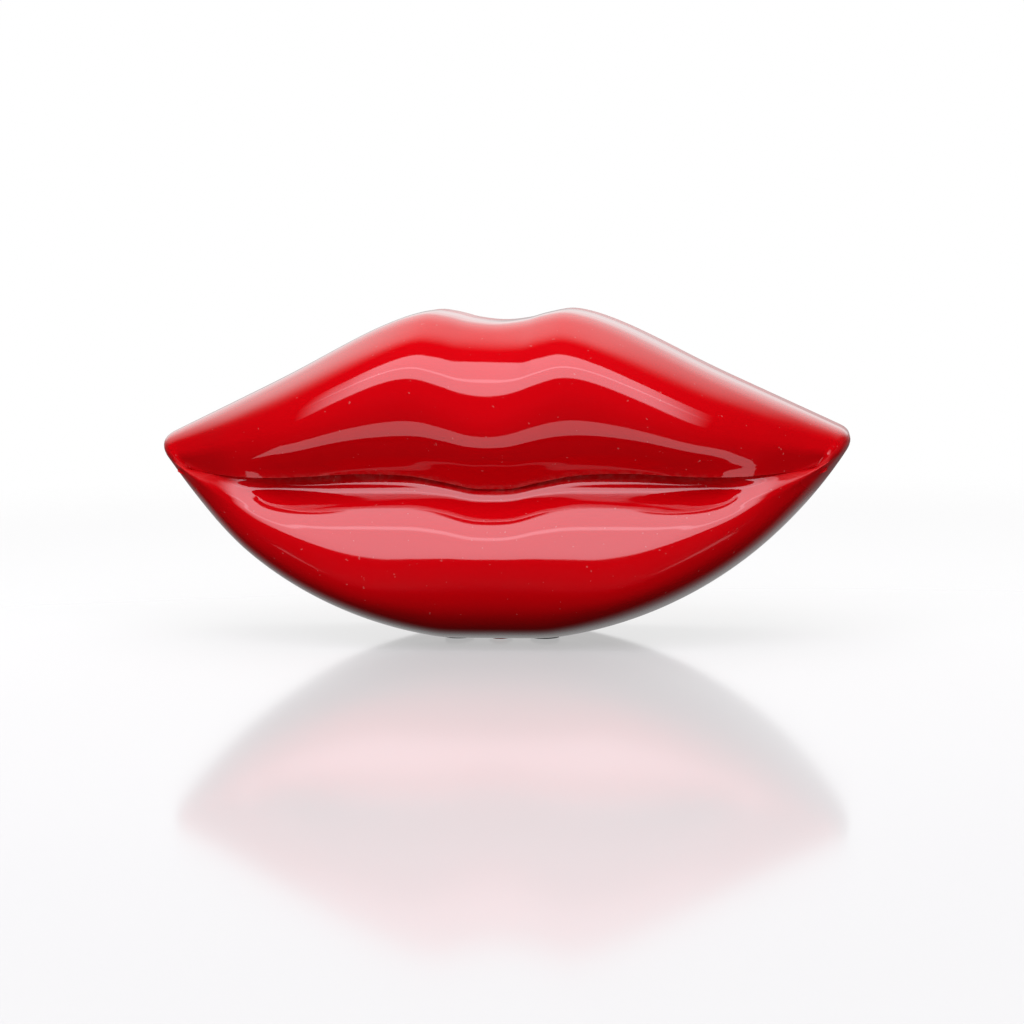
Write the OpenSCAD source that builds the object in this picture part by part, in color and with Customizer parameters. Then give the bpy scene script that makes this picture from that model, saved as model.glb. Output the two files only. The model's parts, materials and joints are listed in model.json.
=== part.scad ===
// Novelty telephone in the shape of a pair of closed lips, a one-piece handset that stands on its lower lip.
// Millimetres. +Z is up, the lips face -Y, and the origin is the centre of the footprint on the table.

/* [Body] */
// Width over the rounded mouth corners
body_w = 216; // [206:1:260]
// Height from the table to the top of the cupid's bow
body_h = 102; // [98:1:124]
// How far the lips stand out in front of the parting plane
lips_depth = 42; // [40:1:52]
// Depth of the rear cover behind the parting plane
cover_depth = 21; // [20:0.5:26]
// Wall thickness of both mouldings
wall = 2.5; // [2:0.1:3]
// Leg of the blend that rounds each mouth corner
tip_blend = 6; // [4:0.5:8]
// Depth of the groove between the lips
groove = 18; // [12:1:22]
// Rounding of the rear cover's outer edge
cover_round = 6; // [4:0.5:7]

/* [Keypad] */
// Width of a number key
key_w = 11; // [9:0.5:12]
// Height of a number key
key_h = 9; // [7.5:0.5:9.5]
// Spacing of the key columns
key_pitch_x = 15; // [14:0.5:16]
// Spacing of the key rows
key_pitch_z = 12.5; // [12:0.5:13]
// Travel of a key
key_travel = 1.2; // [0.8:0.1:1.4]

/* [Hook switch] */
// Diameter of the plunger that the table presses
plunger_d = 7; // [6:0.5:8]
// Travel of the plunger
plunger_travel = 4; // [3:0.5:4.5]
// Wire diameter of the plunger's spring
spring_wire = 0.6; // [0.5:0.1:0.8]

/* [Sound] */
// Diameter of the receiver capsule
receiver_d = 34; // [28:1:35]
// Diameter of the microphone's rubber boot
mic_boot_d = 14; // [12:0.5:15]
// Diameter of the ringer
ringer_d = 26; // [22:1:27]

/* [Fasteners] */
// Shank diameter of the case screws
case_screw_d = 3; // [2.5:0.1:3.5]
// Shank diameter of the board screws
board_screw_d = 2.5; // [2:0.1:3]

/* [Hidden] */
$fn = 48;
fit = 0.2;          // clearance round a piece that sits in an opening
slide_gap = 0.3;    // clearance round a piece that moves
thread_gap = 0.02;  // clearance of a screw in its own pilot hole
through_gap = 0.2;  // clearance of a screw through a plain hole, on the radius
over = 1;           // how far a cut runs past the face it opens

// --- outline -------------------------------------------------------------------------------------------
half_w = body_w / 2;
base_z = 0.4;       // height of the mouldings' flat base above the table
arc_flat = 1;       // how much of the lower arc the flat base takes off
tip_short = 0.357;  // how far the rounded tip falls short of the sharp corner, per mm of blend
corner_x = half_w + tip_short * tip_blend;

// Upper outline for one half: share of the half width, share of the height
upper_line = [[0, 0.966], [0.09, 0.976], [0.2, 1], [0.31, 0.963], [0.44, 0.902], [0.6, 0.815],
              [0.77, 0.73], [0.92, 0.665], [1.06, 0.607]];
// Line between the lips, in the same shares
mouth_line = [[0, 0.456], [0.11, 0.47], [0.24, 0.505], [0.39, 0.518], [0.6, 0.505], [0.8, 0.508], [0.96, 0.52]];
mouth_end = 0.935;  // where the groove runs out, as a share of the half width

// Smooth curve through a table of [x, value] points, level at its first point
function slope_at(t, k) = k == 0 ? 0 :
    let (a = t[k - 1], b = t[min(k + 1, len(t) - 1)]) (b[1] - a[1]) / (b[0] - a[0]);
function span_of(t, x) = max(0, min(len(t) - 2, len([for (p = t) if (p[0] <= x) p]) - 1));
function curve(t, x) =
    let (k = span_of(t, x), d = t[k + 1][0] - t[k][0], u = (x - t[k][0]) / d)
    t[k][1] * (1 + 2 * u) * pow(1 - u, 2) + t[k + 1][1] * u * u * (3 - 2 * u)
    + slope_at(t, k) * d * u * pow(1 - u, 2) - slope_at(t, k + 1) * d * u * u * (1 - u);

function top_z(x) = body_h * curve(upper_line, abs(x) / half_w);
function mouth_z(x) = body_h * curve(mouth_line, abs(x) / half_w);

corner = [corner_x, top_z(corner_x)];
arc_z0 = base_z - arc_flat;
arc_r = (pow(corner[0], 2) + pow(corner[1] - arc_z0, 2)) / (2 * (corner[1] - arc_z0));
function arc_point(a) = [arc_r * sin(a), max(base_z, arc_z0 + arc_r * (1 - cos(a)))];
function bottom_z(x) = arc_point(asin(x / arc_r))[1];

corner_angle = asin(corner[0] / arc_r);
blend_angle = corner_angle - tip_blend / arc_r * 180 / PI;
blend_x = corner_x - 0.93 * tip_blend;
function corner_blend(u) = pow(1 - u, 2) * [blend_x, top_z(blend_x)] + 2 * u * (1 - u) * corner
    + u * u * arc_point(blend_angle);

// Half outline from the top centre to the bottom centre, each row [x, z, x of its point on the mouth line]
side_n = 14;
corner_n = 5;
mouth_x = mouth_end * half_w;
half_outline = concat(
    [for (i = [0:side_n]) let (s = i / side_n, x = s * blend_x) [x, top_z(x), s * mouth_x]],
    [for (i = [1:corner_n - 1]) let (p = corner_blend(i / corner_n)) [p[0], p[1], mouth_x]],
    [for (i = [0:side_n]) let (s = 1 - i / side_n, p = arc_point(s * blend_angle)) [p[0], p[1], s * mouth_x]]
);
half_n = len(half_outline);
function flip(p) = [-p[0], p[1], -p[2]];
outline = concat(half_outline, [for (i = [half_n - 2:-1:1]) flip(half_outline[i])]);
loop_n = len(outline);
lower_from = side_n + corner_n;   // first point of the half outline that is on the lower arc

function xz(p) = [p[0], p[1]];
function unit(v) = v / norm(v);
function half_index(i) = i < half_n ? i : loop_n - i;

// The same outline drawn smaller about the middle of the body, so that it stands d inside the first one
mid_z = body_h / 2;
function shrink(p, d) = [p[0] * (1 - d / half_w), mid_z + (p[1] - mid_z) * (1 - d / mid_z)];
module outline_2d(d) { polygon([for (p = outline) shrink(xz(p), d)]); }

// A shape drawn in x and z, standing from y0 to y1
module slab(y0, y1) {
    translate([0, y1, 0])
        rotate([90, 0, 0])
            linear_extrude(y1 - y0) children();
}
// A round bar along y
module bar_y(x, z, y0, y1, r) {
    translate([x, y1, z])
        rotate([90, 0, 0])
            cylinder(h = y1 - y0, r = r);
}
module rounded(w, h, r) {
    translate([-w / 2 + r, -h / 2]) square([w - 2 * r, h]);
    translate([-w / 2, -h / 2 + r]) square([w, h - 2 * r]);
    for (sx = [-1, 1], sz = [-1, 1])
        translate([sx * (w / 2 - r), sz * (h / 2 - r)]) circle(r);
}
module box(lo, hi) { translate(lo) cube(hi - lo); }

// --- depth of the pieces -------------------------------------------------------------------------------
cup_rise = 3;                              // how far the ear cup stands out of the rear face
total_depth = lips_depth + cover_depth + cup_rise;
part_y = lips_depth - total_depth / 2;     // parting plane
back_y = part_y + cover_depth;             // rear face
panel_y = back_y - wall;                   // inside of the rear panel

// --- the lips ------------------------------------------------------------------------------------------
// Crest of each lip in front of the parting plane, against the share of the mouth line
upper_crest = [[0, 0.988], [0.2, 1], [0.42, 0.955], [0.62, 0.84], [0.8, 0.655], [0.92, 0.5], [1, 0.405]];
lower_crest = [[0, 1], [0.3, 0.985], [0.55, 0.9], [0.75, 0.74], [0.9, 0.54], [1, 0.405]];
upper_wall = [[0, 0.44], [0.6, 0.36], [1, 0.22]];   // straight part of the edge, same shares of lips_depth
lower_wall = [[0, 0.5], [0.4, 0.46], [0.8, 0.3], [1, 0.22]];
groove_fade = [[0, 1], [0.45, 0.93], [0.65, 0.6], [0.8, 0.16], [0.9, 0.05], [1, 0]];
upper_peak = [[0, 0.52], [0.6, 0.54], [1, 0.8]];    // where the crest lies, as a share of the way to the mouth
lower_peak = [[0, 0.45], [0.6, 0.52], [1, 0.8]];
draft = 0.6;         // how far the edge leans in over its straight part
groove_floor = 0.6;  // half width of the groove's flat floor
crest_n = 5;
groove_n = 5;
groove_turn = 78;
rows_n = 2 + crest_n + groove_n;

function share(i) = abs(outline[i][2]) / mouth_x;
function lip_value(i, up, low) = curve(half_index(i) < lower_from ? up : low, share(i));
function fade(i) = curve(groove_fade, share(i));
function mouth_index(i) =
    let (h = half_index(i), s = h < lower_from ? min(h, side_n) : side_n - (h - lower_from))
    i < half_n ? s : -s;

// Row k of column i, as [way along the ray from the outline, height above the parting plane]. The column's
// outline stands `short` inside the outer one, and the surface lies `inset` under the outer one.
function lip_way(i, k, len_q, short, inset) =
    let (peak = lip_value(i, upper_peak, lower_peak) * (len_q + short) - short,
         top = lips_depth * lip_value(i, upper_crest, lower_crest) - inset,
         low = lips_depth * lip_value(i, upper_wall, lower_wall) - inset / 2,
         foot = mouth_h(i) - inset * 0.6,
         last = len_q - groove_floor - inset * fade(i))
    k == 0 ? [0, 0] :
    k <= 1 + crest_n ?
        let (a = 90 * (k - 1) / crest_n)
        [draft + (peak - draft) * (1 - cos(a)), low + (top - low) * sin(a)] :
        let (a = groove_turn * (k - 1 - crest_n) / groove_n)
        [peak + (last - peak) * sin(a) / sin(groove_turn),
         top - (top - foot) * (1 - cos(a)) / (1 - cos(groove_turn))];
function mouth_h(i) = lips_depth * curve(lower_crest, share(i)) - groove * fade(i);
function mouth_xz(i) = [outline[i][2], mouth_z(outline[i][2])];
function lip_point(i, k, inset) =
    let (o = shrink(xz(outline[i]), inset), d = mouth_xz(i) - o,
         short = norm(xz(outline[i]) - o), w = lip_way(i, k, norm(d), short, inset), p = o + unit(d) * w[0])
    [p[0], part_y - w[1], p[1]];

// The lips as a solid: rings of columns, closed along the mouth line, with a flat cap on the parting plane
module lips_solid(inset) {
    rings = [for (k = [0:rows_n - 1], i = [0:loop_n - 1]) lip_point(i, k, inset)];
    floor_line = [for (j = [-side_n:side_n])
        let (i = j < 0 ? loop_n + j : j, m = mouth_xz(i)) [m[0], part_y - mouth_h(i) + inset, m[1]]];
    first_m = len(rings);
    last_ring = (rows_n - 1) * loop_n;
    sides = [for (k = [0:rows_n - 2], i = [0:loop_n - 1])
        let (a = k * loop_n + i, b = k * loop_n + (i + 1) % loop_n)
        for (f = [[a, b, b + loop_n], [a, b + loop_n, a + loop_n]]) f];
    zip = [for (i = [0:loop_n - 1])
        let (j = (i + 1) % loop_n, ma = first_m + side_n + mouth_index(i), mb = first_m + side_n + mouth_index(j))
        for (f = [[last_ring + i, last_ring + j, mb], [last_ring + i, mb, ma]]) if (f[1] != f[2]) f];
    cap = [[for (i = [loop_n - 1:-1:0]) i]];
    polyhedron(concat(rings, floor_line), concat(cap, sides, zip));
}

// --- the rear cover's rounded body ---------------------------------------------------------------------
round_n = 4;
module cover_solid(inset, start_y) {
    edge = cover_round - inset / 2;
    end_y = back_y - inset;
    turn = [for (k = [0:round_n]) let (a = 90 * k / round_n)
        [inset + edge * (1 - cos(a)), end_y - edge + edge * sin(a)]];
    rows = concat([[inset, start_y]], turn);
    points = [for (r = rows, p = outline) let (q = shrink(xz(p), r[0])) [q[0], r[1], q[1]]];
    sides = [for (k = [0:len(rows) - 2], i = [0:loop_n - 1])
        let (a = k * loop_n + i, b = k * loop_n + (i + 1) % loop_n)
        for (f = [[b, a, b + loop_n], [a, a + loop_n, b + loop_n]]) f];
    caps = [[for (i = [0:loop_n - 1]) i], [for (i = [loop_n - 1:-1:0]) (len(rows) - 1) * loop_n + i]];
    polyhedron(points, concat(sides, caps));
}

// --- where things are ----------------------------------------------------------------------------------
key_cols = [key_pitch_x, 0, -key_pitch_x];   // seen from behind the first column is on the left
keypad_z = 0.51 * body_h;
function key_row(r) = keypad_z + (2 - r) * key_pitch_z;
key_flange = 0.9;                            // how far the key's hidden rim stands out round it
key_rim = 1.3;
key_proud = 2.2;
window_w = 2 * key_pitch_x + key_w + 5;
window_h = 4 * key_pitch_z + key_h + 6.5;
bezel_edge = 3;
bezel_sink = 1.2;
bezel_proud = 0.6;
bezel_front = back_y + bezel_proud;
rim_y = panel_y - slide_gap;                 // rear side of the key rims at rest
dome_y = rim_y - key_rim - 0.1;              // tops of the rubber domes
membrane_t = 1;
dome_h = 1.6;
membrane_y = dome_y - dome_h - membrane_t;   // side of the membrane that lies on its board
board_t = 1.6;
pad_board_y = membrane_y - board_t;
stack_x = window_w / 2 + 4.5;
stack_z = [keypad_z - 2 * key_pitch_z - 4, keypad_z + 2 * key_pitch_z + 4];
stack_r = 3;
spacer_len = 14;
main_rear_y = pad_board_y - spacer_len;
main_y = main_rear_y - board_t;
pad_board_w = 2 * stack_x + 2 * stack_r + 1;
pad_board_h = stack_z[1] - stack_z[0] + 2 * stack_r + 1;

// Case screws: three pairs, [x, z] for the right one of each pair
case_xz = [[0.352 * half_w, 0.79 * body_h], [0.8 * half_w, 0.56 * body_h], [0.32 * half_w, 0.13 * body_h]];
case_r = case_screw_d / 2;
case_head_r = case_screw_d;
case_head_h = 0.7 * case_screw_d;
case_seat_y = part_y + 6;
case_bite = 11;                              // thread below the parting plane
post_r = case_head_r + 1.4;

board_r = board_screw_d / 2;
board_head_r = 0.95 * board_screw_d;
board_head_h = 0.6 * board_screw_d;

// Receiver
ear = [0.575 * half_w, 0.5 * body_h];
ear_r = receiver_d / 2;
cup_r = ear_r + 4;
dish_deep = 2.2;                             // dish of the ear cup
dish_r = (pow(cup_r - 2, 2) + pow(dish_deep, 2)) / (2 * dish_deep);
ear_hole_r = 1.2;
ear_hole_pitch = 6;
gasket_t = 1;
capsule_t = 9;
capsule_y = panel_y - gasket_t - capsule_t;
retainer_t = 2;
retainer_y = capsule_y - retainer_t;
ear_post = ear_r + 4.2;

// Microphone and ringer
mouth_pos = [-0.66 * half_w, 0.47 * body_h];
mic_r = mic_boot_d / 2;
mic_core_r = mic_r - 2;
mic_hole_r = 0.7;
mic_hole_pitch = 3;
mic_t = 7;
bell = [-0.5 * half_w, 0.62 * body_h];
bell_r = ringer_d / 2;
bell_t = 8;
rim_wall = 1.5;

// Switches, line jack
switch_x = -0.46 * half_w;
switch_z = [0.4 * body_h, 0.28 * body_h];    // ringer switch, tone switch
switch_box = [15, 7, 6.5];
knob = [4, 3];
knob_travel = 4;
jack = [0.43 * half_w, 0.235 * body_h];
jack_box = [14, 13, 16];
plug = [11.6, 6.8, 12];                      // opening for the line plug

// Base: feet and hook switch
foot_r = 4.5;
foot_x = 13.5;
foot_h = 2.2;
foot_front_y = part_y - 9;
foot_rear_y = part_y + 9;
plunger_r = plunger_d / 2;
hook_y = part_y - 12;
floor_z = base_z + wall;
hook_boss_z = floor_z + 4;
collar_t = 1.6;
collar_r = plunger_r + 1.6;
collar_z = floor_z + plunger_travel + 0.5;
spring_z = collar_z + collar_t;
spring_len = 9;
yoke_z = spring_z + spring_len;
yoke_t = 2;
yoke_leg = 1.6;                              // thickness of the bracket's legs and feet
stem_r = 2;
stem_z = yoke_z + yoke_t + 5;
yoke_x = 8;
yoke_w = 6;                                  // width of the bracket along y
hook_screw_x = 12;
tip_gap = 0.1;                               // plunger's tip above the table
plunger_tip = 0.8;                           // step at the plunger's tip
coil_gap = 0.4;                              // spring clear of the stem
coil_r = stem_r + spring_wire / 2 + coil_gap;
coils = 5;
end_gap = 0.05;                              // spring clear of its seats
coil_step = (spring_len - spring_wire - 2 * end_gap) / coils;
contact_z = yoke_z + yoke_t + 7.4;           // seat of the leaf contacts

// Counterweight
weight_half = 0.26 * half_w;
weight_z = 6.6;
weight_t = 7;
weight_y = part_y + 10;
weight_w = 9;
weight_screw_x = 23.5;

// --- outer pieces --------------------------------------------------------------------------------------
module case_points() {
    for (p = case_xz, s = [-1, 1]) translate([s * p[0], 0, p[1]]) children();
}
module front_shell() {
    difference() {
        lips_solid(0);
        difference() {
            lips_solid(wall);
            case_points() bar_y(0, 0, -body_h, part_y - over / 2, post_r - 0.6);
            for (s = [-1, 1]) {
                translate([s * hook_screw_x, hook_y, -over]) cylinder(h = hook_boss_z + over, r = 3);
                translate([s * foot_x, foot_front_y, -over]) cylinder(h = foot_h + 1.6 + over, r = foot_r + 1.5);
            }
        }
        case_points() bar_y(0, 0, part_y - case_bite - 1, part_y, case_r + thread_gap);
        for (s = [-1, 1]) {
            translate([s * hook_screw_x, hook_y, floor_z]) cylinder(h = hook_boss_z, r = board_r + thread_gap);
            translate([s * foot_x, foot_front_y, 0]) cylinder(h = foot_h, r = foot_r + thread_gap);
        }
        translate([0, hook_y, 0]) cylinder(h = floor_z + over, r = plunger_r + slide_gap);
    }
}

module ring_y(p, y0, y1, r_out, r_in) {
    difference() {
        bar_y(p[0], p[1], y0, y1, r_out);
        bar_y(p[0], p[1], y0 - over, y1 + over, r_in);
    }
}
module rear_cover() {
    root = panel_y + wall / 2;
    difference() {
        union() {
            difference() {
                cover_solid(0, part_y);
                cover_solid(wall, part_y - over);
            }
            difference() {
                slab(part_y - 2, part_y + 3) outline_2d(wall + fit);
                slab(part_y - 3, part_y + 4) outline_2d(wall + fit + 1.1);
            }
            slab(part_y + 0.4, part_y + 2) difference() {
                outline_2d(wall / 2);
                outline_2d(wall + fit + 1.1);
            }
            case_points() bar_y(0, 0, part_y - over / 2 + 0.6, root, post_r);
            for (sx = [-1, 1], z = stack_z) bar_y(sx * stack_x, z, pad_board_y + board_t, root, stack_r);
            ring_y(ear, capsule_y + 4, root, ear_r + fit + rim_wall, ear_r + fit);
            for (s = [-1, 1]) bar_y(ear[0], ear[1] + s * ear_post, capsule_y, root, stack_r);
            bar_y(ear[0], ear[1], root, back_y + cup_rise, cup_r);
            ring_y(mouth_pos, panel_y - mic_t + 2, root, mic_r + thread_gap + rim_wall, mic_r + thread_gap);
            bar_y(mouth_pos[0], mouth_pos[1], root, back_y + 1, mic_r + 3);
            ring_y(bell, panel_y - bell_t + 3, root, bell_r + thread_gap + rim_wall, bell_r + thread_gap);
            for (z = switch_z, s = [-1, 1])
                box([switch_x - 6, panel_y - 4, z + s * (switch_box[1] / 2 + fit + 0.6) - 0.6],
                    [switch_x + 6, root, z + s * (switch_box[1] / 2 + fit + 0.6) + 0.6]);
            for (s = [-1, 1]) translate([s * foot_x, foot_rear_y, 0.9]) cylinder(h = foot_h + 1, r = foot_r + 1.5);
            for (s = [-1, 1]) translate([s * weight_screw_x, weight_y, 1.6]) cylinder(h = weight_z - 1.6, r = 3);
        }
        case_points() {
            bar_y(0, 0, case_seat_y, back_y + over, case_head_r + slide_gap);
            bar_y(0, 0, part_y - 2 * over, case_seat_y + over, case_r + through_gap);
        }
        slab(back_y - bezel_sink, back_y + over)
            translate([0, keypad_z]) rounded(window_w + 2 * bezel_edge, window_h + 2 * bezel_edge, 4);
        slab(panel_y - over, back_y) translate([0, keypad_z]) rounded(window_w, window_h, 2);
        for (sx = [-1, 1], z = stack_z)
            bar_y(sx * stack_x, z, pad_board_y, pad_board_y + board_t + 5, board_r + thread_gap);
        for (s = [-1, 1])
            bar_y(ear[0], ear[1] + s * ear_post, capsule_y - over, capsule_y + 8, board_r + thread_gap);
        // dished ear cup and its sound holes
        translate([ear[0], back_y + cup_rise + dish_r - dish_deep, ear[1]]) sphere(r = dish_r);
        for (a = [0:60:300])
            bar_y(ear[0] + ear_hole_pitch * cos(a), ear[1] + ear_hole_pitch * sin(a), panel_y - over,
                back_y + cup_rise, ear_hole_r);
        bar_y(ear[0], ear[1], panel_y - over, back_y + cup_rise, ear_hole_r);
        for (a = [0:72:288])
            bar_y(mouth_pos[0] + mic_hole_pitch * cos(a), mouth_pos[1] + mic_hole_pitch * sin(a), panel_y - over,
                back_y + 2, mic_hole_r);
        for (s = [-1, 0, 1])
            slab(panel_y - over, back_y + over) translate([bell[0], bell[1] + 4 * s]) rounded(11, 1.6, 0.79);
        for (z = switch_z)
            slab(panel_y - over, back_y + over)
                translate([switch_x, z])
                    square([knob[0] + knob_travel + 2 * slide_gap, knob[1] + 2 * slide_gap], center = true);
        slab(part_y, back_y + over)
            translate(jack) square([jack_box[0] + 2 * fit, jack_box[1] + 2 * fit], center = true);
        for (s = [-1, 1]) {
            translate([s * foot_x, foot_rear_y, 0]) cylinder(h = foot_h, r = foot_r + thread_gap);
            translate([s * weight_screw_x, weight_y, floor_z]) cylinder(h = weight_z, r = board_r + thread_gap);
        }
    }
}

module rubber_feet() {
    for (s = [-1, 1], y = [foot_front_y, foot_rear_y])
        translate([s * foot_x, y, 0]) cylinder(h = foot_h, r = foot_r);
}

// A pan-headed screw along +y or +z with its seat at the origin
module screw(r, head_r, head_h, len_s) {
    rotate([180, 0, 0]) difference() {
        union() {
            cylinder(h = head_h, r = head_r);
            translate([0, 0, -len_s]) cylinder(h = len_s, r = r);
        }
        for (a = [0, 90])
            rotate([0, 0, a])
                translate([-head_r * 0.6, -r / 5, head_h / 2]) cube([head_r * 1.2, r / 2.5, head_h]);
    }
}
// Screw with its head towards the rear
module screw_back(p, seat_y, r, head_r, head_h, len_s) {
    translate([p[0], seat_y, p[1]]) rotate([90, 0, 0]) screw(r, head_r, head_h, len_s);
}
// Screw with its head towards the lips
module screw_front(p, seat_y, r, head_r, head_h, len_s) {
    translate([p[0], seat_y, p[1]]) rotate([-90, 0, 0]) screw(r, head_r, head_h, len_s);
}
// Screw with its head upwards
module screw_down(p, seat_z, r, head_r, head_h, len_s) {
    translate([p[0], p[1], seat_z]) rotate([180, 0, 0]) screw(r, head_r, head_h, len_s);
}
module case_screws() {
    for (p = case_xz, s = [-1, 1])
        screw_back([s * p[0], p[1]], case_seat_y, case_r, case_head_r, case_head_h,
            case_seat_y - part_y + case_bite);
}

// --- keypad --------------------------------------------------------------------------------------------
module keypad_bezel() {
    difference() {
        union() {
            slab(back_y - bezel_sink, bezel_front) translate([0, keypad_z])
                rounded(window_w + 2 * (bezel_edge - fit), window_h + 2 * (bezel_edge - fit), 4 - fit);
            slab(panel_y, back_y)
                translate([0, keypad_z]) rounded(window_w - 2 * fit, window_h - 2 * fit, 2 - fit);
        }
        for (x = key_cols, r = [0:4])
            slab(panel_y - over, bezel_front + over)
                translate([x, key_row(r)]) rounded(key_w + 2 * slide_gap, key_h + 2 * slide_gap, 1.5 + slide_gap);
    }
}
module key(c, r) {
    translate([key_cols[c], 0, key_row(r)]) {
        slab(rim_y - key_rim, rim_y) rounded(key_w + 2 * key_flange, key_h + 2 * key_flange, 1.5);
        slab(rim_y, bezel_front + key_proud - 0.6) rounded(key_w, key_h, 1.5);
        slab(bezel_front, bezel_front + key_proud) rounded(key_w - 1, key_h - 1, 1);
    }
}
module key_membrane() {
    slab(membrane_y, membrane_y + membrane_t)
        translate([0, keypad_z]) rounded(window_w - 1, window_h, 2);
    for (x = key_cols, r = [0:4]) difference() {
        bar_y(x, key_row(r), membrane_y + membrane_t / 2, dome_y, 3.4);
        bar_y(x, key_row(r), membrane_y, dome_y - 0.8, 2.2);
    }
}
module board_sheet(y0, w, h) {
    difference() {
        slab(y0, y0 + board_t) translate([0, keypad_z]) rounded(w, h, 1.5);
        for (sx = [-1, 1], z = stack_z)
            bar_y(sx * stack_x, z, y0 - over, y0 + board_t + over, board_r + through_gap);
    }
}
module keypad_board() { board_sheet(pad_board_y, pad_board_w, pad_board_h); }
module main_board() { board_sheet(main_y, pad_board_w + 2, pad_board_h + 2); }
module board_spacers() {
    for (sx = [-1, 1], z = stack_z)
        ring_y([sx * stack_x, z], main_rear_y, pad_board_y, stack_r - fit, board_r + through_gap);
}
module board_screws() {
    for (sx = [-1, 1], z = stack_z)
        screw_front([sx * stack_x, z], main_y, board_r, board_head_r, board_head_h,
            spacer_len + 2 * board_t + 4.5);
}
module ribbon_cable() {
    top = stack_z[1] + 1;
    for (y = [main_rear_y, pad_board_y - 3]) box([-11, y, top - 2], [11, y + 3, top + 2]);
    box([-9, main_rear_y + 2, top - 0.4], [9, pad_board_y - 2, top + 0.4]);
}

// --- components on the main board's front side ---------------------------------------------------------
module chip(x, z, w, h, pins) {
    box([x - w / 2, main_y - 4.2, z - h / 2], [x + w / 2, main_y - 0.8, z + h / 2]);
    for (i = [0:pins - 1], s = [-1, 1]) {
        px = x - w / 2 + w * (i + 0.5) / pins;
        pz = z + s * (h / 2 + 0.4);
        box([px - 0.3, main_y - 2.6, pz - 0.5], [px + 0.3, main_y, pz + 0.5]);
    }
}
module dialler_chip() { chip(-11, keypad_z + 22, 21, 6.4, 8); }
module speech_chip() { chip(13, keypad_z + 22, 15, 6.4, 6); }
module line_transformer() {
    x = 15;
    z = keypad_z - 10;
    box([x - 8, main_y - 11, z - 7], [x + 8, main_y - 2, z + 7]);
    box([x - 5, main_y - 12.5, z - 9], [x + 5, main_y - 0.6, z + 9]);
    for (sx = [-1, 1], sz = [-1, 1]) bar_y(x + sx * 4, z + sz * 8, main_y - 2, main_y, 0.4);
}
module smoothing_capacitors() {
    for (p = [[-21, -4], [-21, 7], [-9, -1]]) {
        bar_y(p[0], keypad_z + p[1], main_y - 11, main_y, 4);
        bar_y(p[0], keypad_z + p[1], main_y - 11.5, main_y - 9, 3.6);
    }
}
module board_resistors() {
    for (i = [0:5]) {
        x = -20 + 5 * i;
        z = keypad_z + (i > 3 ? 12 : -16);
        translate([x, main_y - 1.6, z - 3]) cylinder(h = 6, r = 1.2);
        translate([x, main_y - 1.6, z - 5]) cylinder(h = 10, r = 0.3);
        for (s = [-1, 1]) box([x - 0.4, main_y - 2, z + s * 4.9 - 0.4], [x + 0.4, main_y, z + s * 4.9 + 0.4]);
    }
}

// --- sound ---------------------------------------------------------------------------------------------
module receiver_capsule() {
    bar_y(ear[0], ear[1], capsule_y, capsule_y + capsule_t, ear_r);
    bar_y(ear[0], ear[1], capsule_y - 3, capsule_y + 1, ear_r - 8);
    for (s = [-1, 1])
        box([ear[0] + s * 4 - 1.5, capsule_y - 3.8, ear[1] - 1], [ear[0] + s * 4 + 1.5, capsule_y - 2, ear[1] + 1]);
}
module receiver_gasket() { ring_y(ear, panel_y - gasket_t, panel_y, ear_r, ear_r - 5); }
module receiver_retainer() {
    difference() {
        union() {
            bar_y(ear[0], ear[1], retainer_y, capsule_y, ear_r + 0.5);
            for (s = [-1, 1]) bar_y(ear[0], ear[1] + s * ear_post, retainer_y, capsule_y, stack_r + 0.2);
            box([ear[0] - 3.2, retainer_y, ear[1] - ear_post], [ear[0] + 3.2, capsule_y, ear[1] + ear_post]);
        }
        bar_y(ear[0], ear[1], retainer_y - over, capsule_y + over, ear_r - 6);
        for (s = [-1, 1])
            bar_y(ear[0], ear[1] + s * ear_post, retainer_y - over, capsule_y + over, board_r + through_gap);
    }
}
module retainer_screws() {
    for (s = [-1, 1])
        screw_front([ear[0], ear[1] + s * ear_post], retainer_y, board_r, board_head_r, board_head_h, retainer_t + 7);
}
module mic_boot() {
    difference() {
        bar_y(mouth_pos[0], mouth_pos[1], panel_y - mic_t, panel_y, mic_r);
        bar_y(mouth_pos[0], mouth_pos[1], panel_y - mic_t - over, panel_y - 1, mic_core_r + thread_gap);
        bar_y(mouth_pos[0], mouth_pos[1], panel_y - 2, panel_y + over, mic_core_r - 1);
    }
}
module mic_capsule() {
    bar_y(mouth_pos[0], mouth_pos[1], panel_y - mic_t + 0.5, panel_y - 1, mic_core_r);
    for (s = [-1, 1])
        bar_y(mouth_pos[0], mouth_pos[1] + s * 1.3, panel_y - mic_t - 1.2, panel_y - mic_t + 1, 0.4);
}
module ringer_housing() {
    difference() {
        bar_y(bell[0], bell[1], panel_y - bell_t, panel_y, bell_r);
        bar_y(bell[0], bell[1], panel_y - bell_t + 1.4, panel_y + over, bell_r - 2.6);
        bar_y(bell[0], bell[1], panel_y - bell_t + 4, panel_y + over, bell_r - 1.4);
    }
}
module ringer_disc() {
    bar_y(bell[0], bell[1], panel_y - bell_t + 4, panel_y - bell_t + 4.6, bell_r - 1.4 - thread_gap);
}

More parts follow.
